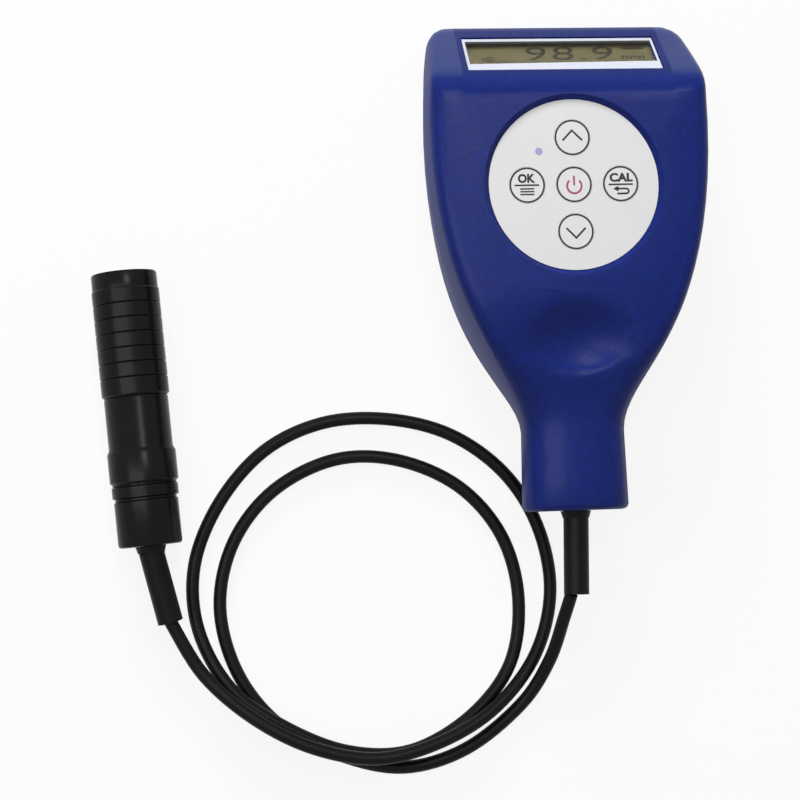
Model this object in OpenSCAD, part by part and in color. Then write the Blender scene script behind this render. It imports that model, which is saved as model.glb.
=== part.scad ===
// Coating thickness gauge with a cabled probe, lying on its back with its keypad up.
// X runs across the body, Y runs from the cable end to the display end, Z points out of the keypad.

/* [Housing] */
// Greatest width of the body
body_w = 63; // [58:0.2:70]
// Length from the neck's end to the display end
body_l = 112; // [108:0.5:122]
// Thickness of the body under the keypad
body_t = 27; // [25:0.5:32]
// Wall of both covers
wall = 2.4; // [1.8:0.1:2.8]
// Height of the parting line between the covers
part_z = 13; // [12:0.1:14]
// Height of the parting line at the display end
part_end_z = 6.5; // [6:0.1:7.2]
// Place along Y where the body is widest
widest_y = 30; // [26:0.5:34]
// Radius of the sides between the widest place and the display end
side_r = 117; // [90:1:160]
// Radius of the display end's corners, seen from above
corner_r = 4; // [2:0.5:6]
// Length of the side curve's handle at the widest place
side_reach = 46; // [40:0.5:50]
// Length of the side curve's handle at the neck
neck_reach = 12; // [9:0.5:16]
// Rounding of the body's upper edges
edge_r = 3.2; // [2:0.1:5]
// Rounding of the body's lower edges
foot_r = 3; // [2.2:0.1:3.5]
// Rounding of the end faces
end_r = 1.4; // [0.8:0.1:1.6]
// Narrowing of the side walls from the parting line to the top
draft = 0.1; // [0:0.1:1]
// Narrowing of the side walls from the parting line to the table
foot_draft = 1; // [0:0.1:2]

/* [Neck] */
// Length of the neck
neck_l = 18; // [15:0.5:20]
// Width of the neck where it begins
neck_w = 22.6; // [20:0.2:27]
// Growth of the neck's width towards its end
neck_flare = 0.8; // [0:0.1:2]
// Height of the neck's top
neck_top = 22.4; // [21:0.2:24]
// Height of the neck's underside above the table
neck_lift = 3.8; // [3.4:0.1:4.4]
// Rounding of the neck's lower edges
neck_foot_r = 6; // [4:0.1:7]
// Share of the neck's half width that is rounded at the top
neck_round = 0.72; // [0.5:0.02:0.85]
// Drop of the neck's rounded top edges
neck_drop = 6.5; // [4:0.5:9]

/* [Thumb dimple] */
// Width of the dimple
dimple_w = 25.5; // [18:0.5:30]
// Length of the dimple
dimple_l = 17.4; // [12:0.2:20]
// Place of the dimple's middle along Y
dimple_y = -17.2; // [-20:0.2:-15.4]
// Depth of the dimple
dimple_depth = 3; // [1:0.1:3.6]

/* [Display] */
// Height of the display end's upper edge
end_h = 9.1; // [8.6:0.1:10]
// Angle of the display slope
slope_a = 47.5; // [46.5:0.1:48]
// Rounding of the slope's outer edges
shoulder_r = 1.6; // [1:0.1:2.4]
// Angle of the display panel, which sinks into the slope from the display end
panel_a = 46.5; // [46:0.1:47]
// Half width of the display panel
panel_x = 23.5; // [23.2:0.1:24]
// Width of the display lens
lens_w = 44.2; // [40:0.1:45]
// Height of the display lens, along the slope
lens_h = 14.3; // [13.8:0.1:14.4]
// Thickness of the display lens
lens_t = 0.6; // [0.5:0.05:0.8]
// Depth of the lens's face under the panel
lens_sink = 0.4; // [0.2:0.05:0.5]
// Distance of the lens's middle from the start of the panel
lens_v = 12.45; // [12.4:0.05:12.8]
// Width of the window under the lens
window_w = 43; // [38:0.1:43.2]
// Height of the window under the lens
window_h = 10.2; // [9.6:0.1:10.4]
// Distance of the window's middle from the start of the panel
window_v = 13.9; // [13.6:0.1:14.1]
// Thickness of the ledge that carries the lens
ledge_t = 0.5; // [0.4:0.05:0.8]
// Width of the LCD glass
glass_w = 46.4; // [44:0.1:47]
// Height of the LCD glass
glass_h = 14; // [12:0.1:15]
// Thickness of the LCD glass
glass_t = 2; // [1.2:0.1:2.4]
// Thickness of the backlight behind the LCD glass
backlight_t = 1.8; // [1:0.1:2.4]

/* [Keypad] */
// Diameter of the keypad's recess
keypad_d = 38.4; // [35:0.2:39]
// Place of the keypad's middle along Y
keypad_y = 16; // [15:0.1:17]
// Depth of the keypad's recess
keypad_recess = 1.4; // [1.2:0.05:1.6]
// Depth of the bevelled rim round the keypad
keypad_rim = 1; // [0.6:0.1:1.1]
// Thickness of the keypad film
film_t = 0.45; // [0.3:0.05:0.6]
// Distance between neighbouring keys
key_pitch = 10.5; // [9.5:0.1:12]
// Travel of a key
key_travel = 0.25; // [0.15:0.05:0.35]
// Diameter of a switch plunger
plunger_d = 3.4; // [2.8:0.1:3.8]
// Side of a square switch body
switch_w = 6; // [5:0.1:6.5]
// Height of a switch body
switch_h = 3.5; // [3:0.1:4]
// Place of the status light across the body
led_x = -7.6; // [-9:0.1:-6.5]
// Place of the status light along Y
led_y = 23.5; // [22:0.1:25]
// Diameter of the status light
led_d = 3; // [2:0.1:3.2]

/* [Boards] */
// Thickness of the main board
board_t = 1.6; // [1:0.1:2]
// Width of the main board
board_w = 44; // [42:0.5:45]
// Distance of the main board from the start of the display slope
board_gap = 5.1; // [4.6:0.1:5.6]
// Place of the main board's cable end along Y
board_end_y = -4; // [-4.4:0.1:-3]
// Thickness of the display board
lcd_board_t = 1; // [0.8:0.1:1.4]

/* [Batteries] */
// Diameter of a cell
cell_d = 10.5; // [10:0.1:10.8]
// Length of a cell without its nub
cell_l = 43.5; // [42:0.1:44]
// Place of the cells' middle along Y
cell_y = 10.5; // [9:0.5:12]
// Thickness of the battery door
door_t = 2; // [1.8:0.05:2.05]
// Width of the battery door's outer plate
door_w = 23; // [22.8:0.1:25]
// Width of one of the door's side tongues
tongue_w = 0.9; // [0.6:0.1:1.2]
// Thickness of the door's side tongues
tongue_t = 0.9; // [0.6:0.05:0.9]

/* [Screws] */
// Diameter of the housing screws
screw_d = 2.6; // [2:0.1:3]
// Diameter of the housing screws' heads
head_d = 4.8; // [4:0.1:5.2]
// Diameter of the screw bosses
boss_d = 6.6; // [6:0.1:7]
// Place of the upper screws across the body
boss_x1 = 24.4; // [23.6:0.1:24.6]
// Distance of the upper screws from the display end
boss_inset = 20.2; // [19.8:0.1:21]
// Place of the lower screws across the body
boss_x2 = 17.6; // [17:0.1:18]
// Place of the lower screws along Y
boss_y2 = -9; // [-10:0.1:-8]

/* [Strain reliefs and cable] */
// Diameter of the strain reliefs
relief_d = 5.7; // [5.2:0.1:6]
// Length of the body's strain relief outside the neck
relief_l = 18.8; // [18.4:0.1:19.2]
// Length of the probe's strain relief outside the probe
tail_l = 17.6; // [17.4:0.1:17.8]
// Diameter of the cable
cable_d = 3; // [2.6:0.05:3.05]

/* [Probe] */
// Place of the probe's front end across the table
probe_x = -100; // [-102:0.1:-98]
// Place of the probe's front end along Y
probe_y = 0.6; // [0:0.1:1.2]
// Turn of the probe from the Y axis
probe_tilt = 4.2; // [3.8:0.1:4.6]
// Diameter of the grooved sleeve
sleeve_d = 15.1; // [14.6:0.1:15.2]
// Length of the grooved sleeve
sleeve_l = 27.8; // [26:0.1:30]
// Number of grip grooves
grooves = 7; // [3:1:8]
// Distance between grip grooves
groove_pitch = 3.33; // [3:0.01:3.4]
// Distance of the first groove from the front end
groove_start = 3.7; // [3:0.1:4]
// Width of a grip groove
groove_w = 0.45; // [0.3:0.05:0.8]
// Depth of a grip groove
groove_depth = 0.2; // [0.1:0.05:0.4]
// Diameter of the probe's neck and rear barrel
barrel_d = 14.3; // [13.6:0.1:14.5]
// Length of the probe's neck
probe_neck_l = 11.6; // [9:0.1:13]
// Diameter of the probe's collar
collar_d = 15.3; // [15:0.1:15.8]
// Length of the probe's collar
collar_l = 8.2; // [6:0.1:10]
// Diameter of the rear barrel's ring
ring_d = 14.8; // [14.5:0.1:15]
// Length of the rear barrel's ring
ring_l = 2.9; // [2:0.1:4]
// Length of the rear barrel with its ring
rear_l = 13.7; // [12.5:0.1:15]
// Diameter of the sliding core
core_d = 8; // [7:0.1:8.4]
// Diameter of the core's flange
flange_d = 10; // [9.4:0.1:10.2]
// Distance of the core's flange from the front end
flange_s = 16; // [14:0.1:18]
// Travel of the core, which is also the tip's reach past the front end
core_travel = 0.8; // [0.4:0.1:1]
// Diameter of the measuring tip
tip_d = 3; // [2:0.1:4]

/* [Hidden] */
$fn = 64;

// Clearances
fit = 0.15;
slide_fit = 0.2;
seat = 0.05;
eps = 0.01;

housing_blue = [0.13, 0.18, 0.5];
black = [0.06, 0.06, 0.07];
board_green = [0.1, 0.35, 0.2];
steel = [0.75, 0.75, 0.77];

// General helpers
function mix(a, b, t) = a + (b - a) * t;
function clamp01(t) = min(1, max(0, t));
function smooth(t) = clamp01(t) * clamp01(t) * (3 - 2 * clamp01(t));
function ramp(a, b, y) = smooth((y - a) / (b - a));
function bezier(a, b, c, d, t) =
    a * pow(1 - t, 3) + 3 * b * t * pow(1 - t, 2) + 3 * c * t * t * (1 - t) + d * pow(t, 3);

// The housing's outline: stations of [y, half width, rounding inset at the ends]
half_l = body_l / 2;
neck_y = neck_l - half_l;
slope_y = half_l - (body_t - end_h) / tan(slope_a);
panel_y = half_l - (body_t - end_h) / tan(panel_a);
slope_blend = 3.4;
slope_lead = 1.6;
part_fall = 6;
neck_end_r = 1.3;
function top_half_w(y) = body_w / 2 - pow(y - widest_y, 2) / (2 * side_r);
function corner_inset(a) = corner_r * (1 - cos(a));
function neck_half_w(y) = neck_w / 2 + neck_flare / 2 * (neck_y - y) / (neck_y + half_l);
function side_y(t) = bezier(widest_y, widest_y - side_reach, neck_y + neck_reach, neck_y, t);
function side_w(t) = bezier(body_w / 2, body_w / 2, neck_w / 2, neck_w / 2, t);

corner_angles = [90, 62, 38, 18, 0];
slope_shares = [0.8, 0.55, 0.3, 0.12];
slope_steps = [1, 0.5, 0, -0.5, -1, -slope_lead];
side_steps = [
    0, 0.05, 0.1, 0.15, 0.2, 0.25, 0.3, 0.34, 0.37, 0.4, 0.425, 0.45, 0.475, 0.5, 0.525, 0.55,
    0.575, 0.6, 0.625, 0.65, 0.675, 0.7, 0.73, 0.77, 0.82, 0.88, 0.94, 1
];
neck_steps = [0.33, 0.66, 1];
neck_angles = [30, 60, 90];

stations = concat(
    [for (a = corner_angles) let (y = half_l - corner_r * (1 - sin(a)))
        [y, top_half_w(y) - corner_inset(a), 0]],
    [for (s = slope_shares) let (y = mix(slope_y + slope_blend, half_l - corner_r, s))
        [y, top_half_w(y), 0]],
    [for (s = slope_steps) let (y = slope_y + s * slope_blend) [y, top_half_w(y), 0]],
    [for (t = side_steps) [side_y(t), side_w(t), 0]],
    [for (s = neck_steps) let (y = mix(neck_y, neck_end_r - half_l, s)) [y, neck_half_w(y), 0]],
    [for (a = neck_angles) let (y = neck_end_r * (1 - sin(a)) - half_l)
        [y, neck_half_w(y) - neck_end_r * (1 - cos(a)), neck_end_r * (1 - cos(a))]]
);

// Height of the top: display slope with its sunken panel, flat back of the keypad, fall to the neck
fall_y = -8;
function slope_drop(u, a) =
    u <= -slope_blend ? 0
    : u >= slope_blend ? u * tan(a)
    : pow(u + slope_blend, 2) / (4 * slope_blend) * tan(a);
function end_drop(y) =
    y <= half_l - end_r ? 0 : end_r - sqrt(max(0, end_r * end_r - pow(y - half_l + end_r, 2)));
function top_z(y) =
    body_t - slope_drop(y - slope_y, slope_a) - end_drop(y) - (body_t - neck_top) * ramp(fall_y, neck_y, y);
function panel_drop(y) = max(0, slope_drop(y - panel_y, panel_a) - slope_drop(y - slope_y, slope_a));
function part_at(y) = mix(part_z, part_end_z, ramp(slope_y - part_fall, half_l - corner_r, y));
lift_y = -26;
function foot_z(y) = neck_lift * ramp(lift_y, neck_y - neck_end_r, y);

// The thumb dimple is soft at its upper rim and crisp at its lower rim
function dimple(x, y) =
    let (u = 2 * x / dimple_w, v = 2 * (y - dimple_y) / dimple_l, q = 1 - u * u - v * v)
    q <= 0 ? 0 : dimple_depth * pow(q, mix(0.9, 1.7, ramp(-1, 0.8, v)));

// Rounded edges from the top's border to the side wall
edge_angles = [0 : 22.5 : 90];
edge_turn_y = -18;
function slope_share(y) = ramp(slope_y - slope_lead * slope_blend, slope_y + slope_blend / 2, y);
function neck_share(y) = ramp(edge_turn_y, neck_y - neck_end_r, y);
top_spans = 14;
rim_h = 0.4;
panel_step = 0.2;
panel_share = 0.9;

function edge_size(y, neck_size) = mix(mix(edge_r, neck_size, neck_share(y)), shoulder_r, slope_share(y));
function edge_points(y, w, z) =
    let (
        ew = edge_size(y, neck_round * w),
        ed = min(edge_size(y, neck_drop), z - part_at(y) - rim_h)
    )
    [for (a = edge_angles) [w - draft - ew + ew * sin(a), z - ed * (1 - cos(a))]];

// One half section above the parting line, from the right rim over the top to the left rim
function upper_section(s, inset) =
    let (
        y = s[0] * (half_l - inset) / half_l,
        w = s[1] - inset,
        z = top_z(y) - inset * mix(1, 1 / cos(slope_a), slope_share(y)) - s[2],
        e = edge_points(y, w, z),
        border = min(panel_x, panel_share * e[0][0]),
        brink = min(border + panel_step, mix(border, e[0][0], 0.5)),
        floor_z = z - panel_drop(y)
    )
    concat(
        [[w, y, part_at(y)]],
        [for (i = [4 : -1 : 0]) [e[i][0], y, e[i][1]]],
        [[brink, y, z]],
        [for (i = [0 : top_spans])
            let (u = 1 - 2 * i / top_spans, x = border * (0.65 * u + 0.35 * pow(u, 3)))
            [x, y, floor_z - dimple(x, y)]],
        [[-brink, y, z]],
        [for (i = [0 : 4]) [-e[i][0], y, e[i][1]]],
        [[-w, y, part_at(y)]]
    );

// One half section below the parting line, from the left rim under the floor to the right rim
foot_angles = [0, 30, 60, 90];
waist_y = -20;
function lower_section(s, inset) =
    let (
        y = s[0] * (half_l - inset) / half_l,
        w = s[1] - inset,
        end_lift = s[2] + foot_r * (1 - sqrt(1 - pow(clamp01((s[0] - half_l + foot_r) / foot_r), 2))),
        p = part_at(y),
        z = min(foot_z(y) + inset + end_lift, p - 1.5 * rim_h),
        r = min(mix(foot_r, neck_foot_r, neck_share(y)), p - z - rim_h / 2),
        x = w - foot_draft * ramp(waist_y, keypad_y, y) * (p - z) / part_z - r,
        e = [for (a = foot_angles) [x + r * cos(a), z + r - r * sin(a)]]
    )
    concat(
        [[-w, y, p]],
        [for (q = e) [-q[0], y, q[1]]],
        [for (i = [3 : -1 : 0]) [e[i][0], y, e[i][1]]],
        [[w, y, p]]
    );

// A closed tub between an outer and an inner run of sections that end on the parting line
module tub(outer, inner) {
    m = len(outer);
    n = len(outer[0]);
    function id(k, i, j) = (k * m + i) * n + j;
    function quad(a, b, c, d) = [[a, b, c], [a, c, d]];
    skin = [for (i = [0 : m - 2], j = [0 : n - 2])
        each quad(id(0, i, j), id(0, i, j + 1), id(0, i + 1, j + 1), id(0, i + 1, j))];
    lining = [for (i = [0 : m - 2], j = [0 : n - 2])
        each quad(id(1, i, j), id(1, i + 1, j), id(1, i + 1, j + 1), id(1, i, j + 1))];
    rims = [for (i = [0 : m - 2]) each concat(
        quad(id(0, i, 0), id(0, i + 1, 0), id(1, i + 1, 0), id(1, i, 0)),
        quad(id(0, i, n - 1), id(1, i, n - 1), id(1, i + 1, n - 1), id(0, i + 1, n - 1)))];
    first = concat(
        [for (j = [1 : n - 2]) [id(0, 0, 0), id(0, 0, j + 1), id(0, 0, j)]],
        [for (j = [1 : n - 2]) [id(1, 0, 0), id(1, 0, j), id(1, 0, j + 1)]],
        quad(id(0, 0, 0), id(1, 0, 0), id(1, 0, n - 1), id(0, 0, n - 1)));
    last = concat(
        [for (j = [1 : n - 2]) [id(0, m - 1, 0), id(0, m - 1, j), id(0, m - 1, j + 1)]],
        [for (j = [1 : n - 2]) [id(1, m - 1, 0), id(1, m - 1, j + 1), id(1, m - 1, j)]],
        quad(id(0, m - 1, 0), id(0, m - 1, n - 1), id(1, m - 1, n - 1), id(1, m - 1, 0)));
    points = concat([for (s = outer) each s], [for (s = inner) each s]);
    polyhedron(points, [for (f = concat(skin, lining, rims, first, last)) [f[2], f[1], f[0]]]);
}

// Shared places and sizes
inner_top = body_t - wall;
film_z = body_t - keypad_recess;
switch_gap = 0.6;
board_z = inner_top - switch_gap - switch_h;
keys = [[0, key_pitch], [-key_pitch, 0], [0, 0], [key_pitch, 0], [0, -key_pitch]];
boss_y1 = half_l - boss_inset;
bosses = [[-boss_x1, boss_y1], [boss_x1, boss_y1], [-boss_x2, boss_y2], [boss_x2, boss_y2]];
board_top_y = slope_y - board_gap;
exit_z = part_z;
post_x = 18.5;
post_y1 = 28;
post_y2 = 1;
posts = [[-post_x, post_y1], [post_x, post_y1], [-post_x, post_y2], [post_x, post_y2]];
post_d = 5;
pilot_d = screw_d - 0.6;
head_h = 1.7;
head_z = wall + head_h;
screw_bite = 7.5;
screw_l = part_z - head_z + screw_bite;
small_screw_d = 2;
small_pilot_d = small_screw_d - 0.4;
small_screw_l = 3;
small_head_d = 3.6;
led_hole_d = led_d + 2 * fit;
plunger_hole_d = plunger_d + 4 * fit;
relief_bore_d = relief_d + 2 * fit;
through = 8;
past = 1;

module at_key(i) translate([keys[i][0], keypad_y + keys[i][1], 0]) children();
module on_panel(v = 0)
    translate([0, panel_y, body_t]) rotate([-panel_a, 0, 0]) translate([0, v, 0]) children();
module block(size) translate([-size[0] / 2, -size[1] / 2, 0]) cube(size);

// Front cover: lofted shell with the keypad recess, the display window, bosses and board posts
lens_pocket = lens_sink + lens_t + seat;
module front_cover() color(housing_blue) difference() {
    union() {
        tub([for (s = stations) upper_section(s, 0)], [for (s = stations) upper_section(s, wall)]);
        for (b = bosses)
            translate([b[0], b[1], part_at(b[1])])
                cylinder(d = boss_d, h = inner_top + wall / 2 - part_at(b[1]));
        for (p = posts)
            translate([p[0], p[1], board_z]) cylinder(d = post_d, h = inner_top + wall / 2 - board_z);
    }
    translate([0, keypad_y, film_z]) cylinder(d = keypad_d, h = through, $fn = 96);
    translate([0, keypad_y, body_t - keypad_rim])
        cylinder(d1 = keypad_d, d2 = keypad_d + 2 * (keypad_rim + past), h = keypad_rim + past, $fn = 96);
    for (i = [0 : 4]) at_key(i) translate([0, 0, inner_top - past]) cylinder(d = plunger_hole_d, h = through);
    translate([led_x, led_y, inner_top - past]) cylinder(d = led_hole_d, h = through);
    on_panel(lens_v) translate([0, 0, -lens_pocket]) block([lens_w + 2 * fit, lens_h + 2 * fit, through]);
    on_panel(window_v) translate([0, 0, -through + past]) block([window_w, window_h, through]);
    on_panel(window_v) translate([0, 0, -lens_pocket - ledge_t - through])
        block([glass_w + 2 * fit, glass_h + 2 * fit, through]);
    for (b = bosses) translate([b[0], b[1], part_at(b[1]) - past])
        cylinder(d = pilot_d, h = part_z - part_at(b[1]) + screw_bite + 2 * past);
    for (p = posts) translate([p[0], p[1], board_z - past])
        cylinder(d = small_pilot_d, h = small_screw_l + past);
    relief_bore();
}
module relief_bore() translate([0, past - half_l + wall, exit_z]) rotate([90, 0, 0])
    cylinder(d = relief_bore_d, h = wall + 3 * past);

// Battery bay and door
cell_gap = 0.25;
cell_x = cell_d / 2 + cell_gap;
cell_z = door_t + cell_gap + cell_d / 2;
nub_l = 1;
nub_d = 3.8;
contact_t = 0.4;
bay_x = cell_x + cell_d / 2 + cell_gap;
bay_half_l = (cell_l + nub_l) / 2 + slide_fit + contact_t + seat;
bay_top = cell_y + bay_half_l;
bay_end = cell_y - bay_half_l;
bay_wall = 1.6;
bay_h = 9.5;
tongue_z = door_t - tongue_t;
roof_z = door_t + slide_fit;
door_end_y = bay_end - bay_wall;
plate_x = door_w / 2;
tongue_x = plate_x + tongue_w;

module bay_rails() {
    z = wall / 2;
    rail_x = tongue_x + bay_wall;
    difference() {
        translate([-rail_x, bay_end - 2 * bay_wall, z])
            cube([2 * rail_x, bay_top - bay_end + 3 * bay_wall, bay_h - z]);
        translate([-bay_x, bay_end, 0]) cube([2 * bay_x, bay_top - bay_end, bay_h + 1]);
    }
    translate([-rail_x, bay_top, z]) cube([2 * rail_x, half_l - wall / 2 - bay_top, roof_z + bay_wall - z]);
}

module rear_cover() color(housing_blue) difference() {
    union() {
        tub([for (s = stations) lower_section(s, 0)], [for (s = stations) lower_section(s, wall)]);
        for (b = bosses) translate([b[0], b[1], wall / 2]) cylinder(d = boss_d, h = part_at(b[1]) - wall / 2);
        bay_rails();
    }
    translate([-plate_x - slide_fit, door_end_y - slide_fit, -1])
        cube([door_w + 2 * slide_fit, half_l - door_end_y + 2, tongue_z + 1 - slide_fit / 2]);
    translate([-tongue_x - slide_fit, door_end_y - slide_fit, tongue_z - slide_fit])
        cube([2 * (tongue_x + slide_fit), half_l - door_end_y + 2, roof_z - tongue_z + slide_fit]);
    translate([-bay_x, bay_end, -1]) cube([2 * bay_x, bay_top - bay_end, roof_z + 2]);
    for (b = bosses) translate([b[0], b[1], -past]) {
        cylinder(d = screw_d + 2 * fit, h = part_z + 2 * past);
        cylinder(d = head_d + 2 * fit, h = head_z + past);
    }
    relief_bore();
}

// The door's section along Y ends in the same rounding as the cover's lower edge
door_turn = acos(1 - door_t / foot_r);
module door_profile() polygon(concat(
    [[door_end_y, door_t], [door_end_y, 0]],
    [for (i = [0 : 6]) let (a = door_turn * i / 6)
        [half_l - foot_r + foot_r * sin(a), foot_r * (1 - cos(a))]]
));
grip_ribs = 5;
grip_pitch = 2;
grip_w = 12;
grip_depth = 0.5;
module battery_door() color(housing_blue) difference() {
    union() {
        translate([-plate_x, 0, 0]) rotate([90, 0, 90]) linear_extrude(door_w) door_profile();
        translate([-tongue_x, door_end_y, tongue_z])
            cube([2 * tongue_x, half_l - foot_r - door_end_y, tongue_t]);
    }
    for (i = [1 : grip_ribs])
        translate([-grip_w / 2, half_l - grip_w / 2 - i * grip_pitch, -1])
            cube([grip_w, grip_pitch / 2, 1 + grip_depth]);
}

// Self-tapping screws: head in the counterbore, shank in the boss
module screw(d, head, head_h, length) {
    difference() {
        cylinder(d = head, h = head_h);
        translate([0, 0, -1]) cylinder(d = head * 0.45, h = 1 + head_h * 0.6, $fn = 6);
    }
    translate([0, 0, head_h - eps]) cylinder(d = d, h = length);
}
small_head_h = 1.2;
module housing_screws() color(steel)
    for (b = bosses) translate([b[0], b[1], head_z - head_h])
        screw(pilot_d - 2 * seat, head_d, head_h, screw_l);
module board_screws() color(steel)
    for (p = posts) translate([p[0], p[1], board_z - board_t - small_head_h])
        screw(small_pilot_d - 2 * seat, small_head_d, small_head_h, small_screw_l);

// Display stack, square to the panel
glass_top = -lens_pocket - ledge_t - seat;
backlight_top = glass_top - glass_t - seat;
lcd_board_top = backlight_top - backlight_t - seat;
module display_lens() color([0.75, 0.78, 0.8])
    on_panel(lens_v) translate([0, 0, -lens_sink - lens_t]) block([lens_w, lens_h, lens_t]);
module lcd_glass() color([0.45, 0.44, 0.33])
    on_panel(window_v) translate([0, 0, glass_top - glass_t]) block([glass_w, glass_h, glass_t]);
module lcd_backlight() color([0.9, 0.9, 0.86])
    on_panel(window_v) translate([0, 0, backlight_top - backlight_t]) block([glass_w, glass_h, backlight_t]);
module lcd_board() color(board_green)
    on_panel(window_v) translate([0, 0, lcd_board_top - lcd_board_t]) block([glass_w, glass_h, lcd_board_t]);

// Flat ribbon from the display board's back over the main board's edge
ribbon_w = 20;
ribbon_t = 0.25;
ribbon_foot = 3.5;
function strip(p, t) = let (n = len(p)) concat(p, [for (i = [n - 1 : -1 : 0])
    let (d = unit(p[min(n - 1, i + 1)] - p[max(0, i - 1)])) p[i] + t * [-d[1], d[0]]]);
module lcd_ribbon() {
    v = window_v - glass_h / 2 + 1;
    z = lcd_board_top - lcd_board_t;
    back = [sin(panel_a), cos(panel_a)];
    finish = [panel_y + v * cos(panel_a), body_t - v * sin(panel_a)] + z * back;
    path = [[board_top_y - ribbon_foot, board_z], [board_top_y + 1, board_z], finish - 1.2 * back, finish];
    color([0.75, 0.5, 0.2]) translate([-ribbon_w / 2, 0, 0]) rotate([90, 0, 90])
        linear_extrude(ribbon_w) polygon(strip(path, ribbon_t));
}

// Main board and what it carries
board_corner = 4;
module main_board() color(board_green) difference() {
    translate([0, 0, board_z - board_t]) linear_extrude(board_t) polygon([
        [board_corner - board_w / 2, board_top_y], [board_w / 2 - board_corner, board_top_y],
        [board_w / 2, board_top_y - board_corner], [board_w / 2, board_end_y],
        [-board_w / 2, board_end_y], [-board_w / 2, board_top_y - board_corner]]);
    for (p = posts) translate([p[0], p[1], board_z - board_t - 1])
        cylinder(d = small_screw_d + 2 * fit, h = board_t + 2);
}
chip_w = 10;
chip_h = 1.2;
chip_y = 10;
module processor() color(black)
    translate([0, chip_y, board_z - board_t - chip_h]) block([chip_w, chip_w, chip_h]);

header_w = 9;
header_l = 6;
header_h = 4.4;
header_end_y = board_end_y + 1;
header_z = board_z - board_t - header_h;
module cable_header() color([0.9, 0.88, 0.8])
    translate([0, header_end_y + header_l / 2, header_z]) block([header_w, header_l, header_h]);

// The lead climbs from the strain relief to the header
lead_steps = 12;
module inner_lead() color(black) wire(
    [for (i = [0 : lead_steps]) let (t = i / lead_steps)
        [0, mix(wall + flange_t + 2 * seat - half_l, header_end_y, t),
            mix(exit_z, header_z + header_h / 2, smooth(t))]],
    cable_r, 8, [0, 1, 0], [0, 1, 0]);

module status_led() color([0.72, 0.7, 0.95]) translate([led_x, led_y, board_z]) {
    cylinder(d = led_d, h = film_z - board_z - led_d / 2 - seat);
    translate([0, 0, film_z - board_z - led_d / 2 - seat]) sphere(d = led_d);
}

// Keys: a film over five switches, each with a plunger that travels
bore_d = plunger_d + 2 * seat;
bore_h = 2;
module switch(i) color(black) at_key(i) difference() {
    translate([0, 0, board_z]) block([switch_w, switch_w, switch_h]);
    translate([0, 0, board_z + switch_h - bore_h]) cylinder(d = bore_d, h = bore_h + 1);
}
module plunger(i) color([0.85, 0.83, 0.78]) at_key(i)
    translate([0, 0, board_z + switch_h - bore_h + key_travel + 2 * seat])
        cylinder(d = plunger_d, h = film_z - seat - board_z - switch_h + bore_h - key_travel - 2 * seat);
module up_switch() switch(0);
module ok_switch() switch(1);
module power_switch() switch(2);
module cal_switch() switch(3);
module down_switch() switch(4);
module up_plunger() plunger(0);
module ok_plunger() plunger(1);
module power_plunger() plunger(2);
module cal_plunger() plunger(3);
module down_plunger() plunger(4);
module keypad_overlay() color([0.93, 0.93, 0.95])
    translate([0, keypad_y, film_z]) cylinder(d = keypad_d - 2 * fit, h = film_t, $fn = 96);

// Cells lie head to tail, with a bridge at one end and two contacts at the other
module cell(s) color([0.3, 0.3, 0.33])
    translate([s * cell_x, cell_y + s * nub_l / 2, cell_z]) rotate([s * 90, 0, 0]) {
        translate([0, 0, -cell_l / 2]) cylinder(d = cell_d, h = cell_l);
        translate([0, 0, cell_l / 2 - eps]) cylinder(d = nub_d, h = nub_l + eps);
    }
module battery_cell_1() cell(-1);
module battery_cell_2() cell(1);
contact_w = 8;
contact_lead_w = 2;
contact_top = board_z - board_t - seat;
contact_z = roof_z + 1;
module contact_plate(w, y) translate([-w / 2, y, contact_z]) cube([w, contact_t, bay_h - contact_z]);
module battery_bridge() color(steel) contact_plate(2 * cell_x + contact_w, bay_end + seat);
module battery_contacts() color(steel)
    for (s = [-1, 1]) translate([s * cell_x, bay_top - contact_t - seat, 0]) {
        contact_plate(contact_w, 0);
        translate([-contact_lead_w / 2, 0, contact_z])
            cube([contact_lead_w, contact_t, contact_top - contact_z]);
    }

// Strain relief of the body: flange inside the neck's end wall, flared root outside, round sleeve
flange_t = 1.5;
relief_flange_d = relief_d + 2;
relief_root_d = relief_d + 1.2;
relief_root_l = 1.6;
relief_rim_d = relief_d + 2 * fit;
bend_s = 1.3;
relief_turn = 1.8;
module body_strain_relief() color(black) translate([0, -half_l, exit_z]) rotate([90, 0, 0]) {
    translate([0, 0, -wall - flange_t - seat]) cylinder(d = relief_flange_d, h = flange_t);
    translate([0, 0, -wall - 2 * seat]) cylinder(d = relief_d, h = wall + 2 * seat + bend_s / 2);
    translate([0, 0, seat]) cylinder(d1 = relief_root_d, d2 = relief_rim_d, h = relief_root_l);
    translate([0, 0, bend_s]) rotate([0, -relief_turn, 0]) cylinder(d = relief_d, h = relief_l - bend_s);
}

// The probe's own frame: its front end at zero, +Z towards its cable, +Y up
probe_z = collar_d / 2;
neck_s = sleeve_l;
collar_s = neck_s + probe_neck_l;
rear_s = collar_s + collar_l;
probe_l = rear_s + rear_l;
module on_probe(s = 0)
    translate([probe_x, probe_y, probe_z]) rotate([0, 0, probe_tilt]) rotate([90, 0, 0])
        translate([0, 0, s]) children();

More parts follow.
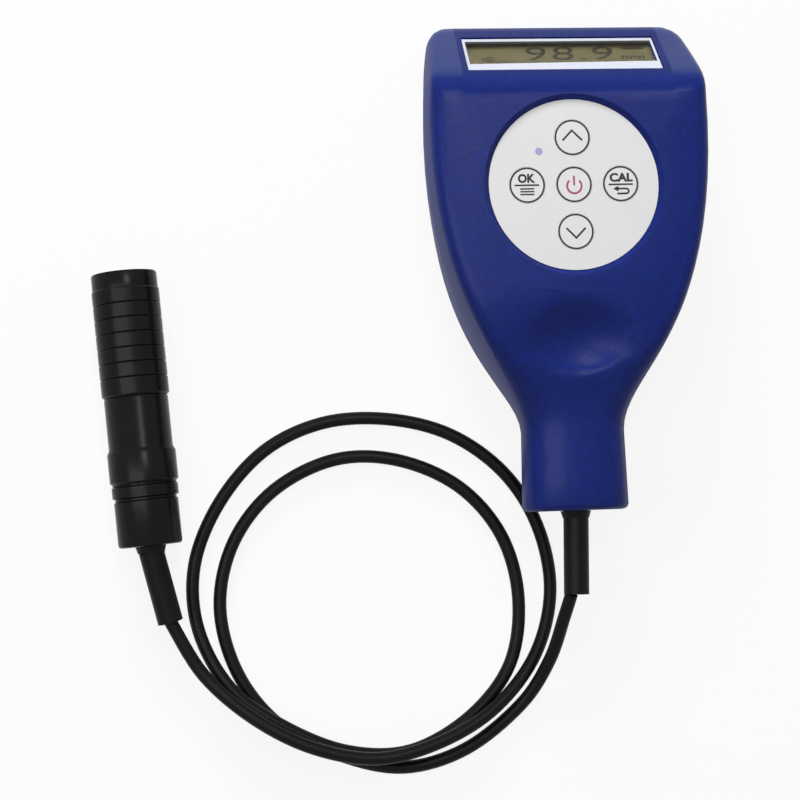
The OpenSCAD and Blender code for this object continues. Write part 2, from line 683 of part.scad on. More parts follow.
joint_l = 6.5;
guide_d = core_d + 2 * slide_fit;
flange_bore_d = flange_d + 2 * slide_fit;
joint_d = flange_bore_d + 1.6;
spring_s = flange_s + 4;
spring_l = 10;
seat_s = spring_s + spring_l;
nose_chamfer = 0.4;
nose_step = 0.2;
edge_cut = 0.4;
web_t = 2;
lead_bore_d = 9;
seat_gap = 0.5;
module probe_sleeve() color(black) on_probe() difference() {
    rotate_extrude($fn = 96) polygon(concat(
        [[0, 0], [sleeve_d / 2 - nose_chamfer, 0], [sleeve_d / 2 - nose_step, nose_chamfer]],
        [for (i = [0 : grooves - 1]) let (s = groove_start + i * groove_pitch) each [
            [sleeve_d / 2 - (i == 0 ? nose_step : 0), s - groove_w / 2], [sleeve_d / 2 - groove_depth, s],
            [sleeve_d / 2, s + groove_w / 2]]],
        [[sleeve_d / 2, sleeve_l - edge_cut], [sleeve_d / 2 - edge_cut, sleeve_l], [0, sleeve_l]]));
    translate([0, 0, -1]) cylinder(d = guide_d, h = sleeve_l + 2);
    translate([0, 0, flange_s - seat]) cylinder(d = flange_bore_d, h = sleeve_l);
    translate([0, 0, sleeve_l - joint_l]) cylinder(d = joint_d + 2 * seat, h = joint_l + 1);
}
module probe_body() color(black) on_probe() difference() {
    union() {
        translate([0, 0, neck_s - joint_l + fit])
            cylinder(d = joint_d, h = rear_s - neck_s + 2 * joint_l - 2 * fit);
        rotate_extrude($fn = 96) polygon([
            [0, neck_s + seat], [barrel_d / 2 - 0.2, neck_s + seat], [barrel_d / 2, neck_s + 0.5],
            [barrel_d / 2, collar_s], [collar_d / 2, collar_s + 1.1],
            [collar_d / 2, rear_s - 0.8], [barrel_d / 2, rear_s - 0.3], [barrel_d / 2, rear_s], [0, rear_s]]);
    }
    translate([0, 0, neck_s - joint_l - 1]) cylinder(d = flange_bore_d, h = seat_s - neck_s + joint_l + 1);
    translate([0, 0, seat_s - past]) cylinder(d = cable_d + 2 * seat_gap, h = web_t + 2 * past);
    translate([0, 0, seat_s + web_t]) cylinder(d = lead_bore_d, h = rear_s);
}
rear_wall = 2.4;
module probe_rear_barrel() color(black) on_probe(rear_s + seat) difference() {
    rotate_extrude($fn = 96) polygon([
        [0, 0], [ring_d / 2 - 0.3, 0], [ring_d / 2, 0.3], [ring_d / 2, ring_l - 0.3],
        [barrel_d / 2 - 0.3, ring_l], [barrel_d / 2 - 0.3, ring_l + 0.4], [barrel_d / 2, ring_l + 0.7],
        [barrel_d / 2, rear_l - 0.7], [barrel_d / 2 - 0.2, rear_l - 0.2], [barrel_d / 2 - 0.7, rear_l],
        [0, rear_l]]);
    translate([0, 0, -1]) cylinder(d = joint_d + 2 * seat, h = joint_l + 1);
    translate([0, 0, -past]) cylinder(d = lead_bore_d, h = rear_l + past - rear_wall);
    cylinder(d = relief_bore_d, h = rear_l + 1);
}

// Sliding core with its winding, its tip and the spring behind it
winding_s = 4;
winding_l = 8;
winding_d = 5;
core_face_s = 0.6;
tip_root_s = 2.5;
tip_dome = 0.8;
module probe_core() color([0.2, 0.2, 0.22]) on_probe() difference() {
    union() {
        translate([0, 0, core_face_s]) cylinder(d = core_d, h = winding_s - core_face_s);
        translate([0, 0, winding_s - eps]) cylinder(d = winding_d, h = winding_l + 2 * eps);
        translate([0, 0, winding_s + winding_l]) cylinder(d = core_d, h = spring_s - winding_s - winding_l);
        translate([0, 0, flange_s]) cylinder(d = flange_d, h = spring_s - flange_s - seat);
    }
    translate([0, 0, core_face_s - 1]) cylinder(d = tip_d, h = tip_root_s + seat + 1 - core_face_s);
}
module probe_coil() color([0.7, 0.4, 0.2]) on_probe(winding_s + seat) difference() {
    cylinder(d = core_d - 0.4, h = winding_l - 2 * seat);
    translate([0, 0, -1]) cylinder(d = winding_d + 2 * seat, h = winding_l + 2);
}
module probe_tip() color(steel) on_probe() rotate_extrude() polygon(concat(
    [[0, tip_root_s], [tip_d / 2 - seat, tip_root_s]],
    [for (a = [0 : 15 : 90]) [(tip_d / 2 - seat) * cos(a), tip_dome * (1 - sin(a)) - core_travel]]));

// A round wire of a given radius along a run of points; ends are square to the end directions
function unit(v) = v / norm(v);
function tangent(p, i, first, last) =
    i == 0 ? first : i == len(p) - 1 ? last : unit(p[i + 1] - p[i - 1]);
module wire(p, r, sides, first, last, up = [0, 0, 1]) {
    n = len(p);
    rings = [for (i = [0 : n - 1])
        let (t = tangent(p, i, first, last), a = unit(cross(up, t)), b = cross(t, a))
        for (k = [0 : sides - 1]) let (turn = 360 * (k + 0.5) / sides)
            p[i] + r * (cos(turn) * a + sin(turn) * b)];
    walls = [for (i = [0 : n - 2], k = [0 : sides - 1])
        let (a = i * sides + k, b = i * sides + (k + 1) % sides, c = a + sides, d = b + sides)
        each [[a, b, d], [a, d, c]]];
    start = [for (k = [1 : sides - 2]) [0, k + 1, k]];
    finish = [for (k = [1 : sides - 2]) [(n - 1) * sides, (n - 1) * sides + k, (n - 1) * sides + k + 1]];
    polyhedron(rings, [for (f = concat(walls, start, finish)) [f[2], f[1], f[0]]]);
}

spring_wire_d = 0.7;
spring_d = flange_bore_d - 1.6;
spring_turns = 5;
spring_steps = 12;
module probe_spring() color(steel) on_probe() {
    n = spring_turns * spring_steps;
    rise = spring_l - spring_wire_d - 2 * seat;
    p = [for (i = [0 : n]) let (a = 360 * i / spring_steps)
        [spring_d / 2 * cos(a), spring_d / 2 * sin(a), spring_s + spring_wire_d / 2 + seat + rise * i / n]];
    wire(p, spring_wire_d / 2, 6, [0, 1, 0], [0, 1, 0], [0, 0, 1]);
}

// Strain relief of the probe: it leaves the barrel straight and leans towards the cable
tail_turn = 9.3;
tail_dip = 5;
module probe_strain_relief() color(black) on_probe(probe_l + 2 * seat) {
    translate([0, 0, -rear_wall - flange_t - seat]) cylinder(d = relief_flange_d - 0.6, h = flange_t);
    translate([0, 0, -rear_wall - 3 * seat]) cylinder(d = relief_d, h = rear_wall + 3 * seat + bend_s / 2);
    cylinder(d1 = relief_root_d, d2 = relief_rim_d, h = relief_root_l);
    translate([0, 0, bend_s]) rotate([tail_dip, tail_turn, 0]) cylinder(d = relief_d, h = tail_l - bend_s);
}
module probe_lead() color(black) on_probe(seat_s + 3)
    cylinder(d = cable_d, h = probe_l - seat_s - 3 - rear_wall - flange_t);

// The cable's route on the table, from the body's strain relief to the probe's
cable_r = cable_d / 2;
cable_start_dir = [-sin(relief_turn), -cos(relief_turn), 0];
cable_side = relief_d / 2 - cable_r - fit;
cable_start = [0, -half_l - bend_s, exit_z] + (relief_l - bend_s) * cable_start_dir
    + cable_side * [-cos(relief_turn), sin(relief_turn), 0];
tail_s = probe_l + 2 * seat + bend_s;
tail_reach = tail_l - bend_s;
tail_local = [
    tail_reach * sin(tail_turn) * cos(tail_dip), -tail_reach * sin(tail_dip),
    tail_s + tail_reach * cos(tail_turn) * cos(tail_dip)
];
function from_probe(p) = [
    probe_x + p[0] * cos(probe_tilt) + p[2] * sin(probe_tilt),
    probe_y + p[0] * sin(probe_tilt) - p[2] * cos(probe_tilt),
    probe_z + p[1]
];
cable_end = from_probe(tail_local);
cable_end_dir = unit(from_probe([0, 0, tail_s]) - cable_end);
route = [
    cable_start, [-3.1, -79.5, 11.2], [-6, -90, 5.3], [-12.5, -100, 2],
    [-25.5, -109.5, 1.6], [-40, -113, 1.6], [-54.5, -109.5, 1.6], [-68, -102, 1.6],
    [-77, -90, 1.6], [-80.5, -75, 1.6], [-77, -60.5, 1.6], [-67.5, -49, 1.6],
    [-53.5, -42.5, 1.6], [-39, -43, 1.6], [-25, -49.5, 1.6], [-15.5, -61, 1.6],
    [-12, -75.5, 1.6], [-14.5, -90.5, 1.6], [-24, -102, 1.8], [-38, -109, 3.5],
    [-52.5, -108.5, 4.8], [-66.5, -102.5, 5], [-78.5, -93.5, 4], [-85.5, -80, 1.8],
    [-86, -65.5, 1.6], [-80, -51.5, 1.6], [-69.5, -40, 1.6], [-56, -34, 1.6],
    [-41, -33.5, 1.6], [-26.5, -37.5, 1.6], [-14.5, -46.5, 1.6], [-7, -59, 1.6],
    [-4.5, -74, 1.6], [-8.5, -88.5, 1.8], [-18.5, -100, 4.2], [-31.5, -107, 6.5],
    [-46, -110, 7.8], [-60.5, -107, 8.1], [-73.5, -100, 7.4], [-84.5, -90, 6.1],
    cable_end
];
spline_steps = 2;
function catmull(a, b, c, d, t) =
    0.5 * (2 * b + (c - a) * t + (2 * a - 5 * b + 4 * c - d) * t * t + (3 * b - a - 3 * c + d) * t * t * t);
function spline(p) = concat(
    [for (i = [0 : len(p) - 2], k = [0 : spline_steps - 1])
        catmull(p[max(0, i - 1)], p[i], p[i + 1], p[min(len(p) - 1, i + 2)], k / spline_steps)],
    [p[len(p) - 1]]);
module cable() color(black) wire(spline(route), cable_r, 8, cable_start_dir, cable_end_dir);

front_cover();
rear_cover();
battery_door();
housing_screws();
display_lens();
lcd_glass();
lcd_backlight();
lcd_board();
lcd_ribbon();
main_board();
board_screws();
processor();
cable_header();
status_led();
up_switch();
ok_switch();
power_switch();
cal_switch();
down_switch();
up_plunger();
ok_plunger();
power_plunger();
cal_plunger();
down_plunger();
keypad_overlay();
battery_cell_1();
battery_cell_2();
battery_bridge();
battery_contacts();
body_strain_relief();
inner_lead();
cable();
probe_sleeve();
probe_body();
probe_rear_barrel();
probe_core();
probe_tip();
probe_coil();
probe_spring();
probe_strain_relief();
probe_lead();
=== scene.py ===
"""Looks of a coating thickness gauge: a blue housing with a round keypad and a sloped display, and a black
probe on a cable that lies in two loops on a white table.

Sizes are in millimetres, in the part's own frame, and are turned into metres where a piece is made.
The floor and the lamps are placed in metres.
"""

import math

import bmesh
import bpy
from mathutils import Euler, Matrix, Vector


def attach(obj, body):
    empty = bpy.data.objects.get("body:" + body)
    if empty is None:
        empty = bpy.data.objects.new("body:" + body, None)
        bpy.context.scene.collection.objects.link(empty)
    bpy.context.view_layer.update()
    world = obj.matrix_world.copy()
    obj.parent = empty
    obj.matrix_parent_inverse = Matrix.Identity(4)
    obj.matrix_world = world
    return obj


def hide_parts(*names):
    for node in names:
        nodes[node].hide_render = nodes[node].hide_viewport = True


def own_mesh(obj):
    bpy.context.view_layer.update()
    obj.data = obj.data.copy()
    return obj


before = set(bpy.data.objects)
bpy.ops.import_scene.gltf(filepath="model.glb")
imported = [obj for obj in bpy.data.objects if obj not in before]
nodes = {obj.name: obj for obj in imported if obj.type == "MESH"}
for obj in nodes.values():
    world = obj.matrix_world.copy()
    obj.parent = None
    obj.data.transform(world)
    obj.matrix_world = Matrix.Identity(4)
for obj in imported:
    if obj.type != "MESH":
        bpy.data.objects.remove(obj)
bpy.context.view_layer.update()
scene = bpy.context.scene
scene.view_settings.view_transform = "Standard"

MM = 0.001

# Sizes that the part's source gives
HALF_L = 56.0
BODY_T = 27.0
END_H = 9.1
PANEL_A = math.radians(46.5)
PANEL_Y = HALF_L - (BODY_T - END_H) / math.tan(PANEL_A)
PANEL_X = 23.5
LENS_W, LENS_H, LENS_V = 44.2, 14.3, 12.45
LENS_TOP = -0.4
GLASS_TOP = -1.6
KEYPAD_D, KEYPAD_Y = 38.4, 16.0
FILM_Z, FILM_T = 25.6, 0.45
FIT = 0.15
KEY_PITCH, PLUNGER_D = 10.5, 3.4
LED_X, LED_Y = -7.6, 23.5
CABLE_D = 3.0
CABLE_START = (-1.749, -74.754, 13.0)
CABLE_END = (-91.617, -77.721, 6.229)

# Sizes of the pieces made here
SHARP_ANGLE = math.radians(34)
NODE_WELD = 0.002
PIECE_WELD = 0.001
PRINT_T = 0.02
PRINT_GAP = 0.01


def metres(p):
    return Vector(p) * MM


def on_panel(x, v, w):
    """A point on the display panel: x across, v along the panel from its start, w out of it."""
    c, s = math.cos(PANEL_A), math.sin(PANEL_A)
    return (x, PANEL_Y + v * c + w * s, BODY_T - v * s + w * c)


def ring_points(cx, cy, r, n):
    return arc(cx, cy, r, 0, 360, n)[:-1]


def arc(cx, cy, r, start, stop, n):
    """Points of an arc between two angles in degrees, both ends included."""
    angles = [math.radians(start + (stop - start) * i / n) for i in range(n + 1)]
    return [(cx + r * math.cos(a), cy + r * math.sin(a)) for a in angles]


def add(name, data):
    """A new object in the scene."""
    obj = bpy.data.objects.new(name, data)
    scene.collection.objects.link(obj)
    return obj


# Camera of the photograph
CAMERA_AT = (-82.16, -55.87, 433.51)
CAMERA_TURN = (3.7163, -5.7347, -1.9768)
CAMERA_LENS = 84.87
CAMERA_SENSOR = 36.0
CAMERA_CLIP = 0.01

camera = add("camera", bpy.data.cameras.new("camera"))
camera.location = metres(CAMERA_AT)
camera.rotation_euler = Euler([math.radians(a) for a in CAMERA_TURN], "XYZ")
camera.data.lens = CAMERA_LENS
camera.data.sensor_width = CAMERA_SENSOR
camera.data.clip_start = CAMERA_CLIP
scene.camera = camera

# Cable: the route on the table, from the body's strain relief to the probe's
ROUTE = [
    CABLE_START, (-3.1, -79.5, 11.2), (-6, -90, 5.3), (-12.5, -100, 2),
    (-25.5, -109.5, 1.6), (-40, -113, 1.6), (-54.5, -109.5, 1.6), (-68, -102, 1.6),
    (-77, -90, 1.6), (-80.5, -75, 1.6), (-77, -60.5, 1.6), (-67.5, -49, 1.6),
    (-53.5, -42.5, 1.6), (-39, -43, 1.6), (-25, -49.5, 1.6), (-15.5, -61, 1.6),
    (-12, -75.5, 1.6), (-14.5, -90.5, 1.6), (-24, -102, 1.8), (-38, -109, 3.5),
    (-52.5, -108.5, 4.8), (-66.5, -102.5, 5), (-78.5, -93.5, 4), (-85.5, -80, 1.8),
    (-86, -65.5, 1.6), (-80, -51.5, 1.6), (-69.5, -40, 1.6), (-56, -34, 1.6),
    (-41, -33.5, 1.6), (-26.5, -37.5, 1.6), (-14.5, -46.5, 1.6), (-7, -59, 1.6),
    (-4.5, -74, 1.6), (-8.5, -88.5, 1.8), (-18.5, -100, 4.2), (-31.5, -107, 6.5),
    (-46, -110, 7.8), (-60.5, -107, 8.1), (-73.5, -100, 7.4), (-84.5, -90, 6.1), CABLE_END,
]
ROUTE_STEPS = 8
CABLE_SIDES = 5


def catmull(a, b, c, d, t):
    """A point at share t of the way from b to c, on a smooth curve through all four."""
    first = (c - a) * t
    second = (2 * a - 5 * b + 4 * c - d) * t**2
    third = (3 * b - a - 3 * c + d) * t**3
    return 0.5 * (2 * b + first + second + third)


def smooth_run(points, steps):
    """Points of a smooth curve through a run of points."""
    p = [Vector(q) for q in points]
    run = []
    for i in range(len(p) - 1):
        before, after = p[max(0, i - 1)], p[min(len(p) - 1, i + 2)]
        run += [catmull(before, p[i], p[i + 1], after, k / steps) for k in range(steps)]
    return run + [p[-1]]


def cable_curve(name, points, diameter):
    """A round cable along points. Each point's radius is the cable's own, so the bevel's depth is one."""
    curve = bpy.data.curves.new(name, "CURVE")
    curve.dimensions = "3D"
    curve.bevel_depth = 1.0
    curve.bevel_resolution = CABLE_SIDES
    curve.use_fill_caps = True
    spline = curve.splines.new("POLY")
    spline.points.add(len(points) - 1)
    for at, p in zip(spline.points, points):
        at.co = (*metres(p), 1)
        at.radius = diameter / 2 * MM
    spline.use_smooth = True
    return add(name, curve)


cable = cable_curve("cable_sheath", smooth_run(ROUTE, ROUTE_STEPS), CABLE_D)
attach(cable, "housing")
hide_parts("cable")

# Materials
DRIFT_BAND = (0.3, 0.7)
DRIFT_DETAIL, GLOSS_DETAIL, GRAIN_DETAIL = 5.0, 3.0, 2.0
GLOSS_SHARE = 1 / 3
GRAIN_DEPTH = 1 / 4
ROUGH_MIN = 0.02
LENS_IOR = 1.1


def link(tree, a, b):
    tree.links.new(a, b)


def surface(name, color, rough, vary=0.15, vary_size=6.0, grain=0.0, grain_size=0.4, rough_vary=0.06,
            metallic=0.0, specular=0.5):
    """A plastic, rubber or metal surface: colour that drifts a little, a fine grain and uneven gloss.
    Sizes are in millimetres on the object."""
    material = bpy.data.materials.new(name)
    material.use_nodes = True
    tree = material.node_tree
    shader = tree.nodes["Principled BSDF"]
    shader.inputs["Metallic"].default_value = metallic
    shader.inputs["Specular IOR Level"].default_value = specular
    place = tree.nodes.new("ShaderNodeTexCoord")

    def noise(size, detail):
        node = tree.nodes.new("ShaderNodeTexNoise")
        node.inputs["Scale"].default_value = 1 / (size * MM)
        node.inputs["Detail"].default_value = detail
        link(tree, place.outputs["Object"], node.inputs["Vector"])
        return node.outputs["Fac"]

    ramp = tree.nodes.new("ShaderNodeValToRGB")
    dark, light = ramp.color_ramp.elements
    dark.position, light.position = DRIFT_BAND
    dark.color = [c * (1 - vary) for c in color] + [1]
    light.color = [min(1, c * (1 + vary)) for c in color] + [1]
    link(tree, noise(vary_size, DRIFT_DETAIL), ramp.inputs["Fac"])
    link(tree, ramp.outputs["Color"], shader.inputs["Base Color"])
    gloss = tree.nodes.new("ShaderNodeMapRange")
    gloss.inputs["To Min"].default_value = max(ROUGH_MIN, rough - rough_vary)
    gloss.inputs["To Max"].default_value = min(1, rough + rough_vary)
    link(tree, noise(vary_size * GLOSS_SHARE, GLOSS_DETAIL), gloss.inputs["Value"])
    link(tree, gloss.outputs["Result"], shader.inputs["Roughness"])
    if grain:
        bump = tree.nodes.new("ShaderNodeBump")
        bump.inputs["Strength"].default_value = grain
        bump.inputs["Distance"].default_value = grain_size * MM * GRAIN_DEPTH
        link(tree, noise(grain_size, GRAIN_DETAIL), bump.inputs["Height"])
        link(tree, bump.outputs["Normal"], shader.inputs["Normal"])
    return material


def clear(name, tint):
    """Clear polished plastic that lets light through to what lies under it."""
    material = surface(name, tint, 0.03, vary=0.0, rough_vary=0.01, specular=0.2)
    tree = material.node_tree
    shader = tree.nodes["Principled BSDF"]
    shader.inputs["Transmission Weight"].default_value = 1.0
    shader.inputs["IOR"].default_value = LENS_IOR
    path = tree.nodes.new("ShaderNodeLightPath")
    through = tree.nodes.new("ShaderNodeBsdfTransparent")
    mix = tree.nodes.new("ShaderNodeMixShader")
    link(tree, path.outputs["Is Shadow Ray"], mix.inputs["Fac"])
    link(tree, shader.outputs["BSDF"], mix.inputs[1])
    link(tree, through.outputs["BSDF"], mix.inputs[2])
    link(tree, mix.outputs["Shader"], tree.nodes["Material Output"].inputs["Surface"])
    return material


BLUE = (0.006, 0.017, 0.152)
# Painted shade for the display panel and a painted sheen for its paler shoulders, laid over the housing blue
# on the slope
PANEL_PAINTED_SHADE = (0.0018, 0.011, 0.112)
SHOULDER_PAINTED_SHEEN = (0.021, 0.036, 0.148)

looks = {
    "housing": surface("housing_plastic", BLUE, 0.29, vary=0.16, vary_size=1.2, grain=0.5,
                       grain_size=0.26, specular=0.12),
    "steel": surface("screw_steel", (0.55, 0.55, 0.57), 0.35, metallic=1.0, vary=0.08),
    "lens": clear("clear_lens", (0.95, 0.96, 0.96)),
    "lcd": surface("lcd_panel", (0.058, 0.05, 0.021), 0.4, vary=0.06, vary_size=14.0, rough_vary=0.02,
                   specular=0.1),
    "white": surface("white_plastic", (0.75, 0.73, 0.68), 0.45, grain=0.15),
    "board": surface("circuit_board", (0.02, 0.11, 0.045), 0.3, vary=0.2, vary_size=3.0),
    "ribbon": surface("ribbon_film", (0.48, 0.2, 0.03), 0.28),
    "black": surface("black_plastic", (0.02, 0.02, 0.022), 0.5, grain=0.2),
    "led": surface("led_plastic", (0.4, 0.36, 0.64), 0.4, vary=0.03, specular=0.2),
    "film": surface("keypad_film", (0.74, 0.74, 0.745), 0.5, vary=0.012, vary_size=9.0, grain=0.1,
                    grain_size=0.25, specular=0.3),
    "ink": surface("printed_ink", (0.03, 0.03, 0.033), 0.55, vary=0.1, specular=0.2),
    "red_ink": surface("printed_red_ink", (0.4, 0.11, 0.16), 0.55, vary=0.08, specular=0.2),
    "lens_print": surface("lens_print", (0.53, 0.55, 0.64), 0.4, vary=0.02, specular=0.2),
    # Dark ink for a painted shadow under the far side of the lens border
    "painted_shadow_ink": surface("lens_painted_shadow_ink", (0.03, 0.028, 0.022), 0.45, vary=0.05, specular=0.1),
    "segments": surface("lcd_segments", (0.008, 0.006, 0.002), 0.4, vary=0.06, specular=0.1),
    "cell": surface("cell_jacket", (0.07, 0.07, 0.08), 0.3, vary=0.1, metallic=0.6),
    "cable": surface("cable_rubber", (0.005, 0.005, 0.0054), 0.36, vary=0.2, grain=0.12, grain_size=0.5,
                     specular=0.1),
    "probe": surface("probe_black", (0.004, 0.004, 0.0044), 0.26, vary=0.15, vary_size=3.0, grain=0.08,
                     grain_size=0.2, specular=0.11),
    "ferrite": surface("core_ferrite", (0.04, 0.04, 0.045), 0.6, grain=0.3),
    "copper": surface("coil_copper", (0.5, 0.2, 0.08), 0.3, metallic=1.0),
}

NODE_LOOKS = {
    "housing": ["front_cover", "rear_cover", "battery_door"],
    "steel": ["housing_screws", "board_screws", "battery_bridge", "battery_contacts", "probe_tip",
              "probe_spring"],
    "lens": ["display_lens"],
    "lcd": ["lcd_glass"],
    "white": ["lcd_backlight", "cable_header", "up_plunger", "ok_plunger", "power_plunger", "cal_plunger",
              "down_plunger"],
    "board": ["lcd_board", "main_board"],
    "ribbon": ["lcd_ribbon"],
    "black": ["processor", "up_switch", "ok_switch", "power_switch", "cal_switch", "down_switch"],
    "led": ["status_led"],
    "cell": ["battery_cell_1", "battery_cell_2"],
    "cable": ["body_strain_relief", "probe_strain_relief", "inner_lead", "probe_lead"],
    "probe": ["probe_sleeve", "probe_body", "probe_rear_barrel"],
    "ferrite": ["probe_core"],
    "copper": ["probe_coil"],
}

# Where the display slope's painted light starts, from the panel's sides, its crest and the end wall's top:
# painted shade on the panel, painted sheen on the shoulders
SIDE_BLEND = 0.1
CREST_BLEND = (0.8, 3.2)
END_BLEND = (-0.6, -0.3)
# How far a wall may lean, as the upward part of its normal, and its finish
WALL_LEAN = (0.2, 0.6)
WALL_ROUGH = 0.5


def paint_slope_shade_and_sheen(material, panel, shoulder):
    """Paints light into the display slope's colour: painted shade darkens the panel, and a painted sheen
    makes the shoulders paler.
    """
    tree = material.node_tree
    base = tree.nodes["Principled BSDF"].inputs["Base Color"]
    place = tree.nodes.new("ShaderNodeTexCoord")
    split = tree.nodes.new("ShaderNodeSeparateXYZ")
    link(tree, place.outputs["Object"], split.inputs["Vector"])

    def step(axis, start, stop):
        ramp = tree.nodes.new("ShaderNodeMapRange")
        ramp.interpolation_type = "SMOOTHSTEP"
        ramp.inputs["From Min"].default_value = start * MM
        ramp.inputs["From Max"].default_value = stop * MM
        link(tree, split.outputs[axis], ramp.inputs["Value"])
        return ramp.outputs["Result"]

    def combine(operation, a, b):
        node = tree.nodes.new("ShaderNodeMath")
        node.operation = operation
        link(tree, a, node.inputs[0])
        link(tree, b, node.inputs[1])
        return node.outputs["Value"]

    inside = combine("SUBTRACT", step("X", -PANEL_X - SIDE_BLEND, -PANEL_X + SIDE_BLEND),
                     step("X", PANEL_X - SIDE_BLEND, PANEL_X + SIDE_BLEND))
    slope = combine("MULTIPLY", step("Y", PANEL_Y + CREST_BLEND[0], PANEL_Y + CREST_BLEND[1]),
                    step("Z", END_H + END_BLEND[0], END_H + END_BLEND[1]))
    # Painted shade on the panel between a painted sheen on the shoulders
    painted_tones = tree.nodes.new("ShaderNodeMixRGB")
    painted_tones.inputs["Color1"].default_value = (*shoulder, 1)
    painted_tones.inputs["Color2"].default_value = (*panel, 1)
    link(tree, inside, painted_tones.inputs["Fac"])
    blend = tree.nodes.new("ShaderNodeMixRGB")
    link(tree, slope, blend.inputs["Fac"])
    link(tree, base.links[0].from_socket, blend.inputs["Color1"])
    link(tree, painted_tones.outputs["Color"], blend.inputs["Color2"])
    link(tree, blend.outputs["Color"], base)


def coarsen_walls(material, rough):
    """Gives the upright walls a coarser finish than the top and the back."""
    tree = material.node_tree
    socket = tree.nodes["Principled BSDF"].inputs["Roughness"]
    facing = tree.nodes.new("ShaderNodeTexCoord")
    split = tree.nodes.new("ShaderNodeSeparateXYZ")
    link(tree, facing.outputs["Normal"], split.inputs["Vector"])
    lean = tree.nodes.new("ShaderNodeMath")
    lean.operation = "ABSOLUTE"
    link(tree, split.outputs["Z"], lean.inputs[0])
    level = tree.nodes.new("ShaderNodeMapRange")
    level.interpolation_type = "SMOOTHSTEP"
    level.inputs["From Min"].default_value = WALL_LEAN[0]
    level.inputs["From Max"].default_value = WALL_LEAN[1]
    link(tree, lean.outputs["Value"], level.inputs["Value"])
    blend = tree.nodes.new("ShaderNodeMix")
    blend.inputs["A"].default_value = rough
    link(tree, level.outputs["Result"], blend.inputs["Factor"])
    link(tree, socket.links[0].from_socket, blend.inputs["B"])
    link(tree, blend.outputs["Result"], socket)


# Paints shade into the display panel and a sheen into its shoulders
paint_slope_shade_and_sheen(looks["housing"], PANEL_PAINTED_SHADE, SHOULDER_PAINTED_SHEEN)
coarsen_walls(looks["housing"], WALL_ROUGH)


def wear(obj, look):
    obj.data.materials.clear()
    obj.data.materials.append(looks[look])


for look, names in NODE_LOOKS.items():
    for name in names:
        wear(nodes[name], look)
wear(cable, "cable")


# Smooth shading of the frame's own meshes, kept sharp at their edges
def edge_smoother(name, angle):
    group = bpy.data.node_groups.new(name, "GeometryNodeTree")
    group.interface.new_socket("Geometry", in_out="INPUT", socket_type="NodeSocketGeometry")
    group.interface.new_socket("Geometry", in_out="OUTPUT", socket_type="NodeSocketGeometry")
    start = group.nodes.new("NodeGroupInput")
    end = group.nodes.new("NodeGroupOutput")
    merge = group.nodes.new("GeometryNodeMergeByDistance")
    merge.inputs["Distance"].default_value = NODE_WELD * MM
    faces = group.nodes.new("GeometryNodeSetShadeSmooth")
    faces.domain = "FACE"
    edges = group.nodes.new("GeometryNodeSetShadeSmooth")
    edges.domain = "EDGE"
    edges.inputs["Shade Smooth"].default_value = False
    bend = group.nodes.new("GeometryNodeInputMeshEdgeAngle")
    sharp = group.nodes.new("FunctionNodeCompare")
    sharp.data_type = "FLOAT"
    sharp.operation = "GREATER_THAN"
    sharp.inputs["B"].default_value = angle
    link(group, start.outputs[0], merge.inputs["Geometry"])
    link(group, merge.outputs["Geometry"], faces.inputs["Geometry"])
    link(group, faces.outputs["Geometry"], edges.inputs["Geometry"])
    link(group, bend.outputs["Unsigned Angle"], sharp.inputs["A"])
    link(group, sharp.outputs["Result"], edges.inputs["Selection"])
    link(group, edges.outputs["Geometry"], end.inputs[0])
    return group


smoother = edge_smoother("smooth_by_angle", SHARP_ANGLE)
for obj in nodes.values():
    normals = obj.data.attributes.get("custom_normal")
    if normals:
        obj.data.attributes.remove(normals)
    obj.modifiers.new("smooth", "NODES").node_group = smoother

# Probe spring: a smoothed copy of the frame's spring with a mesh of its own, carried with the housing. It is
# not shortened here, though the real one shortens towards its rear end as the core is pushed in.
coil = nodes["probe_spring"].data.copy()
coil.transform(nodes["probe_spring"].matrix_world)
spring = add("probe_spring_coil", coil)
spring.modifiers.new("smooth", "NODES").node_group = smoother
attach(spring, "housing")
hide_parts("probe_spring")
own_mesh(spring)


# Mesh helpers
def piece(name, verts, faces, look, body, solid=0.0):
    """A new piece from points in millimetres. A flat print gets its thickness from solid."""
    mesh = bpy.data.meshes.new(name)
    mesh.from_pydata([metres(v) for v in verts], [], faces)
    b = bmesh.new()
    b.from_mesh(mesh)
    bmesh.ops.remove_doubles(b, verts=b.verts, dist=PIECE_WELD * MM)
    bmesh.ops.recalc_face_normals(b, faces=b.faces)
    b.to_mesh(mesh)
    b.free()
    obj = add(name, mesh)
    if solid:
        thick = obj.modifiers.new("thickness", "SOLIDIFY")
        thick.thickness = solid * MM
        thick.offset = 0
    else:
        mesh.shade_smooth()
        mesh.set_sharp_from_angle(angle=SHARP_ANGLE)
    wear(obj, look)
    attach(obj, body)
    return obj


def lathe(name, profile, at, look, body, n=64):
    """A turned piece about an upright axis: profile of (radius, height)."""
    verts = [(*q, z) for r, z in profile for q in ring_points(at[0], at[1], r, n)]
    faces = [(k * n + i, k * n + (i + 1) % n, (k + 1) * n + (i + 1) % n, (k + 1) * n + i)
             for k in range(len(profile) - 1) for i in range(n)]
    faces += [tuple(range(n)), tuple(range((len(profile) - 1) * n, len(profile) * n))]
    return piece(name, verts, faces, look, body)


